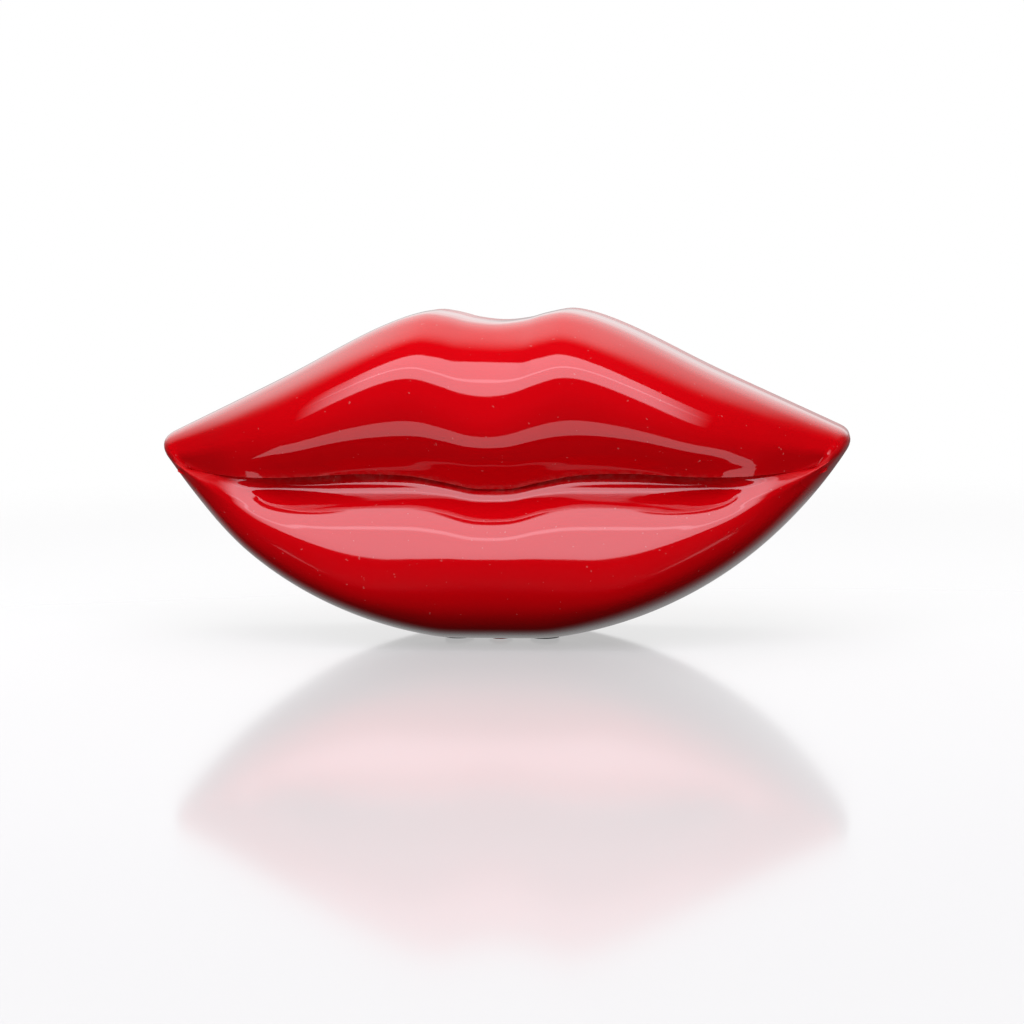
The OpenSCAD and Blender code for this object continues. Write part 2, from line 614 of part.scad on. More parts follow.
// --- weight, jack and hook switch ----------------------------------------------------------------------
module counterweight() {
    difference() {
        box([-weight_half, weight_y - weight_w / 2, weight_z],
            [weight_half, weight_y + weight_w / 2, weight_z + weight_t]);
        for (s = [-1, 1]) translate([s * weight_screw_x, weight_y, weight_z - over]) {
            cylinder(h = weight_t + 2 * over, r = board_r + through_gap);
            translate([0, 0, over + 3]) cylinder(h = weight_t, r = board_head_r + slide_gap);
        }
    }
}
module weight_screws() {
    for (s = [-1, 1])
        screw_down([s * weight_screw_x, weight_y], weight_z + 3, board_r, board_head_r, board_head_h, 3 + 2.6);
}
module line_jack() {
    y0 = back_y - jack_box[2];
    difference() {
        union() {
            box([jack[0] - jack_box[0] / 2, y0, jack[1] - jack_box[1] / 2],
                [jack[0] + jack_box[0] / 2, back_y, jack[1] + jack_box[1] / 2]);
            box([jack[0] - jack_box[0] / 2, panel_y - 2, jack[1] - jack_box[1] / 2 - 0.7],
                [jack[0] + jack_box[0] / 2, panel_y, jack[1] + jack_box[1] / 2 + 0.7]);
        }
        box([jack[0] - plug[0] / 2, back_y - plug[2], jack[1] - plug[1] / 2],
            [jack[0] + plug[0] / 2, back_y + over, jack[1] + plug[1] / 2]);
        box([jack[0] - 3, back_y - plug[2], jack[1] - plug[1] / 2 - 2], [jack[0] + 3, back_y + over, jack[1]]);
    }
}
module jack_contacts() {
    for (i = [-1.5:1:1.5]) {
        x = jack[0] + 1.2 * i;
        z = jack[1] + plug[1] / 2;
        box([x - 0.25, back_y - plug[2], z - 0.5], [x + 0.25, back_y - 3, z]);
        box([x - 0.25, back_y - plug[2], z - 2], [x + 0.25, back_y - plug[2] + 0.5, z]);
    }
}
module hook_plunger() {
    translate([0, hook_y, 0]) {
        translate([0, 0, tip_gap + 1]) cylinder(h = collar_z, r = plunger_r);
        translate([0, 0, tip_gap]) cylinder(h = 2, r = plunger_r - plunger_tip);
        translate([0, 0, collar_z]) cylinder(h = collar_t, r = collar_r);
        translate([0, 0, spring_z - over]) cylinder(h = stem_z - spring_z + over, r = stem_r);
    }
}
module hook_spring() {
    for (i = [0:coils])
        translate([0, hook_y, spring_z + end_gap + spring_wire / 2 + i * coil_step])
            rotate_extrude() translate([coil_r, 0]) circle(r = spring_wire / 2);
    for (i = [0:coils - 1], s = [-1, 1])
        translate([s * coil_r, hook_y, spring_z + end_gap + spring_wire / 2 + i * coil_step])
            cylinder(h = coil_step, r = spring_wire / 3);
}
module hook_bracket() {
    difference() {
        translate([0, hook_y, 0]) {
            for (s = [-1, 1]) {
                foot_in = s > 0 ? yoke_x : -hook_screw_x - 3;
                foot_out = s > 0 ? hook_screw_x + 3 : -yoke_x;
                leg_x = s * (yoke_x + yoke_leg / 2);
                box([foot_in, -yoke_w / 2, hook_boss_z], [foot_out, yoke_w / 2, hook_boss_z + yoke_leg]);
                box([leg_x - yoke_leg / 2, -yoke_w / 2, hook_boss_z], [leg_x + yoke_leg / 2, yoke_w / 2, yoke_z + yoke_t]);
            }
            box([-yoke_x - yoke_leg, -yoke_w / 2, yoke_z], [yoke_x + yoke_leg, yoke_w / 2, yoke_z + yoke_t]);
            box([-yoke_x, -yoke_w / 2, yoke_z + yoke_t - 0.5], [-yoke_x + 4.5, yoke_w / 2, contact_z]);
        }
        translate([0, hook_y, yoke_z - over]) cylinder(h = yoke_t + 2 * over, r = stem_r + slide_gap);
        for (s = [-1, 1])
            translate([s * hook_screw_x, hook_y, hook_boss_z - over]) cylinder(h = 4, r = board_r + through_gap);
    }
}
module bracket_screws() {
    for (s = [-1, 1])
        screw_down([s * hook_screw_x, hook_y], hook_boss_z + yoke_leg, board_r, board_head_r, board_head_h, 5);
}
module hook_leaf_contacts() {
    translate([0, hook_y, contact_z]) {
        box([-yoke_x, -2, 0], [4, 2, 0.4]);
        box([-yoke_x, -2, 2], [5, 2, 2.4]);
        box([-yoke_x, -2.5, 0.4], [-yoke_x + 3.5, 2.5, 2]);
        for (h = [0.4, 1.4]) translate([2.5, 0, h]) cylinder(h = 0.6, r = 0.9);
    }
}
module switch_body(z) {
    difference() {
        box([switch_x - switch_box[0] / 2, panel_y - switch_box[2], z - switch_box[1] / 2],
            [switch_x + switch_box[0] / 2, panel_y, z + switch_box[1] / 2]);
        box([switch_x - (knob[0] + knob_travel) / 2 - slide_gap, panel_y - 3.5, z - knob[1] / 2 - slide_gap],
            [switch_x + (knob[0] + knob_travel) / 2 + slide_gap, panel_y + over, z + knob[1] / 2 + slide_gap]);
    }
    for (i = [-1, 0, 1]) bar_y(switch_x + 3 * i, z, panel_y - switch_box[2] - 3, panel_y - switch_box[2] + 0.5, 0.4);
}
module switch_knob(z) {
    x0 = switch_x - (knob[0] + knob_travel) / 2;
    box([x0, panel_y - 3.5 + slide_gap, z - knob[1] / 2], [x0 + knob[0], back_y + 1.2, z + knob[1] / 2]);
    for (i = [0:2])
        box([x0 + 0.4 + 1.2 * i, back_y + 1, z - knob[1] / 2], [x0 + 1.2 + 1.2 * i, back_y + 1.6, z + knob[1] / 2]);
}
module ringer_switch_body() { switch_body(switch_z[0]); }
module ringer_switch_knob() { switch_knob(switch_z[0]); }
module tone_switch_body() { switch_body(switch_z[1]); }
module tone_switch_knob() { switch_knob(switch_z[1]); }

// --- wiring --------------------------------------------------------------------------------------------
lead_r = 0.6;
lead_clear = 6.45;   // from a board screw to the first jack lead
module leg(a, b) {
    d = b - a;
    translate(a) rotate([0, acos(d[2] / norm(d)), atan2(d[1], d[0])]) cylinder(h = norm(d), r = lead_r, $fn = 8);
}
module lead(points) {
    last = len(points) - 2;
    for (i = [0:last]) {
        run = lead_r / 2 * unit(points[i + 1] - points[i]);
        leg(points[i] - (i > 0 ? run : [0, 0, 0]), points[i + 1] + (i < last ? run : [0, 0, 0]));
    }
}
edge_x = pad_board_w / 2;
module receiver_leads() {
    for (s = [-1, 1]) {
        z = ear[1] + 2.4 * s;
        lead([[edge_x - 3, main_y, z], [edge_x - 3, main_y - 2, z], [edge_x + 8, main_y - 4, z],
            [ear[0] + 4 * s, capsule_y - 9, ear[1]], [ear[0] + 4 * s, capsule_y - 3.8, ear[1]]]);
    }
}
module mic_leads() {
    for (s = [-1, 1]) {
        z = mouth_pos[1] - 4 + 1.8 * s;
        lead([[3 - edge_x, main_y, z], [3 - edge_x, main_y - 3, z],
            [mouth_pos[0], panel_y - mic_t - 6, mouth_pos[1] + 1.3 * s],
            [mouth_pos[0], panel_y - mic_t - 1.2, mouth_pos[1] + 1.3 * s]]);
    }
}
module ringer_leads() {
    for (s = [-1, 1]) {
        z = bell[1] + 1 + 1.8 * s;
        lead([[3 - edge_x, main_y, z], [3 - edge_x, main_y - 3, z],
            [bell[0] + 3 * s, panel_y - bell_t - 6, bell[1]], [bell[0] + 3 * s, panel_y - bell_t, bell[1]]]);
    }
}
module jack_leads() {
    for (i = [-1.5:1:1.5]) {
        z = stack_z[0] + lead_clear + 2 * (i + 1.5);
        lead([[edge_x - 3, main_y, z], [edge_x - 3, main_y - 2.4, z], [edge_x + 2, main_y - 2.4, z],
            [jack[0], back_y - jack_box[2] - 3, jack[1] + 2.4 * i],
            [jack[0], back_y - jack_box[2], jack[1] + 2.4 * i]]);
    }
}

color([0.72, 0.02, 0.05]) front_shell();
color([0.68, 0.02, 0.05]) rear_cover();
color([0.1, 0.1, 0.1]) rubber_feet();
color([0.7, 0.7, 0.72]) case_screws();
color([0.08, 0.08, 0.09]) keypad_bezel();
color([0.6, 0.6, 0.58]) key_membrane();
color([0.15, 0.35, 0.2]) keypad_board();
color([0.45, 0.33, 0.15]) main_board();
color([0.75, 0.62, 0.3]) board_spacers();
color([0.7, 0.7, 0.72]) board_screws();
color([0.75, 0.75, 0.78]) ribbon_cable();
color([0.1, 0.1, 0.1]) dialler_chip();
color([0.1, 0.1, 0.1]) speech_chip();
color([0.5, 0.48, 0.45]) line_transformer();
color([0.1, 0.15, 0.4]) smoothing_capacitors();
color([0.75, 0.6, 0.4]) board_resistors();
color([0.2, 0.2, 0.22]) receiver_capsule();
color([0.12, 0.12, 0.12]) receiver_gasket();
color([0.85, 0.84, 0.8]) receiver_retainer();
color([0.7, 0.7, 0.72]) retainer_screws();
color([0.7, 0.7, 0.72]) mic_capsule();
color([0.1, 0.1, 0.1]) mic_boot();
color([0.15, 0.15, 0.15]) ringer_housing();
color([0.8, 0.66, 0.3]) ringer_disc();
color([0.5, 0.5, 0.52]) counterweight();
color([0.7, 0.7, 0.72]) weight_screws();
color([0.12, 0.12, 0.12]) line_jack();
color([0.85, 0.7, 0.3]) jack_contacts();
color([0.72, 0.02, 0.05]) hook_plunger();
color([0.7, 0.7, 0.72]) hook_spring();
color([0.85, 0.84, 0.8]) hook_bracket();
color([0.7, 0.7, 0.72]) bracket_screws();
color([0.8, 0.6, 0.3]) hook_leaf_contacts();
color([0.2, 0.2, 0.2]) tone_switch_body();
color([0.9, 0.9, 0.88]) tone_switch_knob();
color([0.2, 0.2, 0.2]) ringer_switch_body();
color([0.9, 0.9, 0.88]) ringer_switch_knob();
color([0.8, 0.7, 0.1]) receiver_leads();
color([0.9, 0.9, 0.9]) mic_leads();
color([0.15, 0.3, 0.7]) ringer_leads();
color([0.1, 0.5, 0.2]) jack_leads();
color([0.1, 0.1, 0.11]) key(0, 0);  // key_1
color([0.1, 0.1, 0.11]) key(1, 0);  // key_2
color([0.1, 0.1, 0.11]) key(2, 0);  // key_3
color([0.1, 0.1, 0.11]) key(0, 1);  // key_4
color([0.1, 0.1, 0.11]) key(1, 1);  // key_5
color([0.1, 0.1, 0.11]) key(2, 1);  // key_6
color([0.1, 0.1, 0.11]) key(0, 2);  // key_7
color([0.1, 0.1, 0.11]) key(1, 2);  // key_8
color([0.1, 0.1, 0.11]) key(2, 2);  // key_9
color([0.1, 0.1, 0.11]) key(0, 3);  // key_star
color([0.1, 0.1, 0.11]) key(1, 3);  // key_0
color([0.1, 0.1, 0.11]) key(2, 3);  // key_hash
color([0.1, 0.1, 0.11]) key(0, 4);  // key_redial
color([0.1, 0.1, 0.11]) key(1, 4);  // key_mute
color([0.1, 0.1, 0.11]) key(2, 4);  // key_flash
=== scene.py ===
import json
import math

import bmesh
import bpy
from mathutils import Matrix, Vector


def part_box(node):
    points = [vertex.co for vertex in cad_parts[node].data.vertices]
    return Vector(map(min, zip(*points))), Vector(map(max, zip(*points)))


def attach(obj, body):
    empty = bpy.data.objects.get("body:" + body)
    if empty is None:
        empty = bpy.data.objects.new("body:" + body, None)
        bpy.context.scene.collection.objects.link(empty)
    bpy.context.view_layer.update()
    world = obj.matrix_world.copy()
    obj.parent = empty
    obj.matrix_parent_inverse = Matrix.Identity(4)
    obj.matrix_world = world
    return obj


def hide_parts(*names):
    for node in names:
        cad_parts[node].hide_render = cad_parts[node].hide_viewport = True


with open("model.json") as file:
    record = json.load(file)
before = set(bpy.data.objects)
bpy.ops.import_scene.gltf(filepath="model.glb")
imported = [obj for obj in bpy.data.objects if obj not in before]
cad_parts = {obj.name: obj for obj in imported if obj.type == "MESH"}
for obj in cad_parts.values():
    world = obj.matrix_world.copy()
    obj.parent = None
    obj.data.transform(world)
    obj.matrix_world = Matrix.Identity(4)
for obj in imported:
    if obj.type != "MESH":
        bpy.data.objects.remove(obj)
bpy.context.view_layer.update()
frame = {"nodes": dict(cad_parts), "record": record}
nodes = frame["nodes"]
print("frame loaded:", len(nodes), "nodes")


# shader graphs: a wire is one output, and sums of wires make the nodes between them
class Wire:
    def __init__(self, graph, socket):
        self.graph = graph
        self.socket = socket

    def math(self, how, other=0.0, third=None, clamp=False):
        node = self.graph.tree.nodes.new("ShaderNodeMath")
        node.operation = how
        node.use_clamp = clamp
        for slot, value in enumerate([self, other, third]):
            if value is not None:
                self.graph.feed(node.inputs[slot], value)
        return Wire(self.graph, node.outputs[0])

    def __add__(self, other):
        return self.math("ADD", other)

    __radd__ = __add__

    def __mul__(self, other):
        return self.math("MULTIPLY", other)

    __rmul__ = __mul__

    def __sub__(self, other):
        return self.math("SUBTRACT", other)

    def __rsub__(self, other):
        return self.math("MULTIPLY", -1.0) + other

    def __truediv__(self, other):
        return self.math("DIVIDE", other)

    def __pow__(self, other):
        return self.math("POWER", other)

    def ramp(self, low, high, outLow=0.0, outHigh=1.0):
        return self.graph.node("ShaderNodeMapRange", {"interpolation_type": "SMOOTHSTEP"}, 0,
                               {0: self, 1: low, 2: high, 3: outLow, 4: outHigh})

    def blend(self, first, second):
        return self.graph.node("ShaderNodeMix", {"data_type": "RGBA"}, 2, {0: self, 6: first, 7: second})


class Graph:
    def __init__(self, name, **constants):
        self.material = bpy.data.materials.new(name)
        self.material.use_nodes = True
        self.tree = self.material.node_tree
        self.surface = self.tree.nodes["Principled BSDF"]
        for key, value in constants.items():
            self.surface.inputs[key.replace("_", " ")].default_value = value
        self.place = self.node("ShaderNodeTexCoord", {}, 3, {})

    def feed(self, target, value):
        if isinstance(value, Wire):
            self.tree.links.new(value.socket, target)
        else:
            target.default_value = value

    def node(self, kind, settings, out, inputs):
        made = self.tree.nodes.new(kind)
        for key, value in settings.items():
            setattr(made, key, value)
        for slot, value in inputs.items():
            self.feed(made.inputs[slot], value)
        return Wire(self, made.outputs[out])

    def noise(self, scale, detail=3.0, rough=0.5, place=None):
        return self.node("ShaderNodeTexNoise", {}, 0,
                         {"Vector": place or self.place, "Scale": scale, "Detail": detail, "Roughness": rough})

    def stretch(self, amounts, turn=(0, 0, 0)):
        return self.node("ShaderNodeMapping", {}, 0, {0: self.place, 2: turn, 3: amounts})

    def attribute(self, name):
        return self.node("ShaderNodeAttribute", {"attribute_name": name}, 2, {})

    def bump(self, height, strength, distance, below=None):
        inputs = {"Height": height, "Strength": strength, "Distance": distance}
        if below:
            inputs["Normal"] = below
        return self.node("ShaderNodeBump", {}, 0, inputs)

    def drive(self, **wires):
        for key, value in wires.items():
            self.feed(self.surface.inputs[key.replace("_", " ")], value)
        return self.material


class SkyGraph(Graph):
    def __init__(self, name):
        self.world = bpy.data.worlds.new(name)
        self.world.use_nodes = True
        self.tree = self.world.node_tree
        self.tree.nodes.clear()
        self.place = self.node("ShaderNodeTexCoord", {}, 0, {})


# finishes
def plastic(name, colour, worn, rough, gloss=0.0, grain=900.0, grainDepth=0.00002, dust=0.25):
    graph = Graph(name, IOR=1.5, Coat_Weight=gloss, Coat_Roughness=0.04)
    cloud = graph.noise(28.0, 4.0).ramp(0.35, 0.7)
    specks = graph.noise(2400.0, 2.0, 0.6).ramp(0.66, 0.74)
    scratches = graph.noise(70.0, 5.0, 0.7, graph.stretch((1, 9, 1), (0.3, 0.9, 0.5))).ramp(0.64, 0.69)
    film = graph.noise(60.0, 5.0, 0.65).ramp(0.4, 0.75)
    base = (cloud * 0.5).blend(colour, worn)
    base = (specks * dust).blend(base, (0.55, 0.52, 0.48, 1))
    roughness = film * 0.10 + scratches * 0.12 + specks * 0.2 + rough
    grainBump = graph.bump(graph.noise(grain, 2.0), 0.35, grainDepth)
    normal = graph.bump(scratches, 0.2, 0.00001, grainBump)
    return graph.drive(Base_Color=base, Roughness=roughness, Normal=normal)


def metal(name, colour, rough, tarnish):
    graph = Graph(name, Metallic=1.0)
    cloud = graph.noise(160.0, 4.0).ramp(0.35, 0.75)
    brushed = graph.noise(500.0, 3.0, 0.6, graph.stretch((1, 14, 1)))
    base = (cloud * 0.6).blend(colour, tarnish)
    normal = graph.bump(brushed, 0.25, 0.00002)
    return graph.drive(Base_Color=base, Roughness=cloud * 0.16 + brushed * 0.1 + rough, Normal=normal)


def lipsFinish():
    graph = Graph("lipsGloss", IOR=1.42, Coat_Roughness=0.02)
    crease = graph.attribute("crease")
    rim = graph.attribute("rim")
    under = graph.attribute("under")
    line = graph.attribute("line")
    haze = graph.attribute("haze")
    cloud = graph.noise(14.0, 3.0).ramp(0.3, 0.75)
    film = graph.noise(45.0, 6.0, 0.6).ramp(0.48, 0.8)
    specks = graph.noise(760.0, 1.0, 0.5).ramp(0.745, 0.785)
    hairs = graph.noise(55.0, 6.0, 0.72, graph.stretch((1, 1, 7), (0.4, 0.2, 0.7))).ramp(0.655, 0.69)
    dustNoise = graph.noise(420.0, 4.0, 0.7).ramp(0.35, 0.75)
    dust = (crease * 0.18 + rim * 0.22 + line * 0.30) * dustNoise + specks * 0.22
    base = (cloud * 0.6).blend((0.52, 0.0003, 0.0030, 1), (0.48, 0.0003, 0.0024, 1))
    base = dust.blend(base, (0.50, 0.30, 0.27, 1))
    roughness = film * 0.035 + hairs * 0.05 + dust * 0.5 + under * 0.06 + haze * 0.30 + 0.05
    peel = graph.bump(graph.noise(110.0, 2.0, 0.4), 0.05, 0.00012)
    normal = graph.bump(hairs, 0.06, 0.00001, peel)
    coat = under * -0.5 - haze * 0.6 + 0.8
    return graph.drive(Base_Color=base, Roughness=roughness, Coat_Weight=coat, Normal=normal)


finishes = {
    "lips_gloss_red": lipsFinish(),
    "cover_gloss_red": plastic("coverGloss", (0.56, 0.0015, 0.004, 1), (0.50, 0.0015, 0.004, 1), 0.12, 0.3,
                               grain=700.0, grainDepth=0.00001, dust=0.12),
    "black_rubber": plastic("blackRubber", (0.016, 0.016, 0.017, 1), (0.035, 0.034, 0.033, 1), 0.7),
    "grey_rubber": plastic("greyRubber", (0.28, 0.28, 0.27, 1), (0.22, 0.22, 0.21, 1), 0.6),
    "plated_steel": metal("platedSteel", (0.62, 0.61, 0.59, 1), 0.22, (0.42, 0.40, 0.36, 1)),
    "spring_steel": metal("springSteel", (0.46, 0.46, 0.47, 1), 0.3, (0.30, 0.28, 0.26, 1)),
    "black_plastic": plastic("blackPlastic", (0.018, 0.018, 0.020, 1), (0.030, 0.029, 0.028, 1), 0.38,
                             grain=1300.0, grainDepth=0.00006),
    "key_plastic": plastic("keyPlastic", (0.78, 0.75, 0.68, 1), (0.70, 0.66, 0.56, 1), 0.26, 0.15, dust=0.1),
    "cream_plastic": plastic("creamPlastic", (0.70, 0.67, 0.58, 1), (0.62, 0.58, 0.47, 1), 0.4),
    "green_board": plastic("greenBoard", (0.02, 0.14, 0.05, 1), (0.03, 0.18, 0.07, 1), 0.3),
    "brown_board": plastic("brownBoard", (0.30, 0.18, 0.07, 1), (0.24, 0.14, 0.06, 1), 0.5),
    "brass_parts": metal("brassParts", (0.72, 0.50, 0.20, 1), 0.25, (0.45, 0.30, 0.12, 1)),
    "capsule_metal": metal("capsuleMetal", (0.60, 0.60, 0.61, 1), 0.3, (0.48, 0.47, 0.45, 1)),
    "sleeve_blue": plastic("sleeveBlue", (0.02, 0.07, 0.30, 1), (0.03, 0.09, 0.26, 1), 0.3),
    "resistor_tan": plastic("resistorTan", (0.55, 0.38, 0.22, 1), (0.45, 0.31, 0.18, 1), 0.45),
    "lead_yellow": plastic("leadYellow", (0.70, 0.48, 0.04, 1), (0.62, 0.42, 0.04, 1), 0.35),
    "lead_white": plastic("leadWhite", (0.78, 0.77, 0.74, 1), (0.68, 0.66, 0.6, 1), 0.35),
    "lead_green": plastic("leadGreen", (0.02, 0.28, 0.06, 1), (0.03, 0.22, 0.06, 1), 0.35),
}
slotOf = {part["node"]: part["material_slot"] for part in frame["record"]["subparts"]}
print("finishes:", len(finishes))


# number helpers
def portion(value, low, span):
    return min(1.0, max(0.0, (value - low) / span))


def eased(value, low, span):
    u = portion(value, low, span)
    return u * u * (3 - 2 * u)


def mixed(a, b, share):
    return (1 - share) * a + share * b


def smoothTable(table, x):
    # a smooth curve through rows of (place, value)
    k = max(0, min(len(table) - 2, sum(1 for row in table if row[0] <= x) - 1))

    def slope(j):
        if j == 0:
            return 0.0
        a, b = table[j - 1], table[min(j + 1, len(table) - 1)]
        return (b[1] - a[1]) / (b[0] - a[0])

    step = table[k + 1][0] - table[k][0]
    u = (x - table[k][0]) / step
    return (table[k][1] * (1 + 2 * u) * (1 - u) ** 2 + table[k + 1][1] * u * u * (3 - 2 * u)
            + slope(k) * step * u * (1 - u) ** 2 - slope(k + 1) * step * u * u * (1 - u))


# mesh helpers
def addObject(name, data):
    thing = bpy.data.objects.new(name, data)
    bpy.context.scene.collection.objects.link(thing)
    return thing


def finishObject(name, mesh, slot, body, smooth=True, replaces=()):
    thing = addObject(name, mesh)
    mesh.materials.clear()
    mesh.materials.append(finishes[slot])
    for face in mesh.polygons:
        face.use_smooth = smooth
    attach(thing, body)
    for node in replaces:
        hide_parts(node)


def bmToMesh(bm, name):
    bmesh.ops.recalc_face_normals(bm, faces=bm.faces)
    mesh = bpy.data.meshes.new(name)
    bm.to_mesh(mesh)
    bm.free()
    return mesh


def addPin(bm, x, y, z, depth, radius, segments):
    bmesh.ops.create_cone(bm, cap_ends=True, segments=segments, radius1=radius, radius2=radius, depth=depth,
                          matrix=Matrix.Translation((x, y, z)))


def addBar(bm, x, z, y0, y1, radius, segments=48):
    place = Matrix.Translation((x, (y0 + y1) / 2, z)) @ Matrix.Rotation(math.pi / 2, 4, "X")
    bmesh.ops.create_cone(bm, cap_ends=True, segments=segments, radius1=radius, radius2=radius, depth=y1 - y0,
                          matrix=place)


def addBlock(bm, x, z, w, h, y0, y1, corner=0.0, segments=6):
    place = Matrix.Translation((x, (y0 + y1) / 2, z)) @ Matrix.Diagonal((w, y1 - y0, h, 1))
    made = bmesh.ops.create_cube(bm, size=1.0, matrix=place)["verts"]
    if corner:
        edges = [edge for edge in {edge for vert in made for edge in vert.link_edges}
                 if abs(edge.verts[0].co.y - edge.verts[1].co.y) > (y1 - y0) / 2]
        bmesh.ops.bevel(bm, geom=edges, offset=corner, segments=segments, profile=0.5, affect="EDGES", material=-1)


def addRings(bm, x, z, w, h, corner, rings, segments=7):
    # a closed skin through rounded rectangles, each ring given as (inset, y)
    loops = []
    for inset, y in rings:
        r = max(corner - inset, 0.0003)
        loop = []
        for sx, sz, start in ((1, 1, 0), (-1, 1, 90), (-1, -1, 180), (1, -1, 270)):
            for k in range(segments + 1):
                angle = math.radians(start + 90 * k / segments)
                loop.append(bm.verts.new((x + sx * (w / 2 - inset - r) + r * math.cos(angle), y,
                                          z + sz * (h / 2 - inset - r) + r * math.sin(angle))))
        loops.append(loop)
    for a, b in zip(loops, loops[1:]):
        for i in range(len(a)):
            j = (i + 1) % len(a)
            bm.faces.new((a[i], a[j], b[j], b[i]))
    bm.faces.new(loops[0])
    bm.faces.new(loops[-1])


def baked(thing):
    graph = bpy.context.evaluated_depsgraph_get()
    return bpy.data.meshes.new_from_object(thing.evaluated_get(graph))


def cutWith(mesh, cutter, name):
    base = addObject("base", mesh)
    knife = addObject("knife", bmToMesh(cutter, "knife"))
    cut = base.modifiers.new("cut", "BOOLEAN")
    cut.operation = "DIFFERENCE"
    cut.solver = "EXACT"
    cut.object = knife
    made = baked(base)
    made.name = name
    for thing in (base, knife):
        bpy.data.objects.remove(thing)
    return made


def hollow(bm, thickness, weld=0.00002):
    # a grid rolled up into a skin, closed where its sides meet, then given a wall inwards
    bmesh.ops.remove_doubles(bm, verts=bm.verts, dist=weld)
    shell = addObject("shell", bmToMesh(bm, "skin"))
    wall = shell.modifiers.new("wall", "SOLIDIFY")
    wall.thickness = thickness
    wall.offset = -1
    solid = baked(shell)
    bpy.data.objects.remove(shell)
    return solid


# the outline that both skins share
shellLow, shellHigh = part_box("front_shell")
coverLow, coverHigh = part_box("rear_cover")
bezelLow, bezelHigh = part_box("keypad_bezel")

outline = {
    "halfWidth": shellHigh[0] - 0.00015,
    "height": shellHigh[2] + 0.00005,
    "baseZ": shellLow[2],
    "arcFlat": 0.0010,
    "blend": 0.005,
    "tipShort": 0.357,
    "top": [[0, 0.966], [0.079, 0.975], [0.137, 0.991], [0.195, 1.0], [0.254, 0.989], [0.312, 0.968],
            [0.37, 0.942], [0.44, 0.906], [0.6, 0.819], [0.77, 0.734], [0.92, 0.660], [1.06, 0.590]],
    "mouth": [[0, 0.472], [0.06, 0.475], [0.13, 0.492], [0.24, 0.514], [0.39, 0.52], [0.6, 0.510], [0.8, 0.514],
              [0.96, 0.530]],
    "mouthEnd": 0.90,
    "columns": 352,
    # the top runs to tipStart of each half turn, the corner takes tipSpan and the bottom the rest
    "tipStart": 0.475,
    "tipSpan": 0.05,
    "tipBack": 0.93,
    "baseSoft": 0.0002,
}


def topZ(x):
    return outline["height"] * smoothTable(outline["top"], abs(x) / outline["halfWidth"])


def mouthZ(x):
    return outline["height"] * smoothTable(outline["mouth"], abs(x) / outline["halfWidth"])


cornerX = outline["halfWidth"] + outline["tipShort"] * outline["blend"]
cornerZ = topZ(cornerX)
arcZ = outline["baseZ"] - outline["arcFlat"]
arcRadius = (cornerX ** 2 + (cornerZ - arcZ) ** 2) / (2 * (cornerZ - arcZ))
blendAngle = math.asin(cornerX / arcRadius) - outline["blend"] / arcRadius
blendX = cornerX - outline["tipBack"] * outline["blend"]
mouthX = outline["mouthEnd"] * outline["halfWidth"]


def arcPoint(angle):
    z = arcZ + arcRadius * (1 - math.cos(angle))
    low, soft = outline["baseZ"], outline["baseSoft"]
    if z - low < 30 * soft:
        z = low + soft * math.log1p(math.exp((z - low) / soft))
    return arcRadius * math.sin(angle), z


def outlinePoint(turn):
    # x and z of the outline, the share of the way to the corner, and 0 for the upper lip to 1 for the lower
    side = 1 if turn <= 0.5 else -1
    t = 2 * (turn if turn <= 0.5 else 1 - turn)
    start, span = outline["tipStart"], outline["tipSpan"]
    if t < start:
        s = t / start
        x, z = s * blendX, topZ(s * blendX)
    elif t <= start + span:
        s = 1.0
        u = (t - start) / span
        lowX, lowZ = arcPoint(blendAngle)
        x = (1 - u) ** 2 * blendX + 2 * u * (1 - u) * cornerX + u * u * lowX
        z = (1 - u) ** 2 * topZ(blendX) + 2 * u * (1 - u) * cornerZ + u * u * lowZ
    else:
        s = (1 - t) / (1 - start - span)
        x, z = arcPoint(s * blendAngle)
    return side * x, z, side * s, portion(t, start, span)


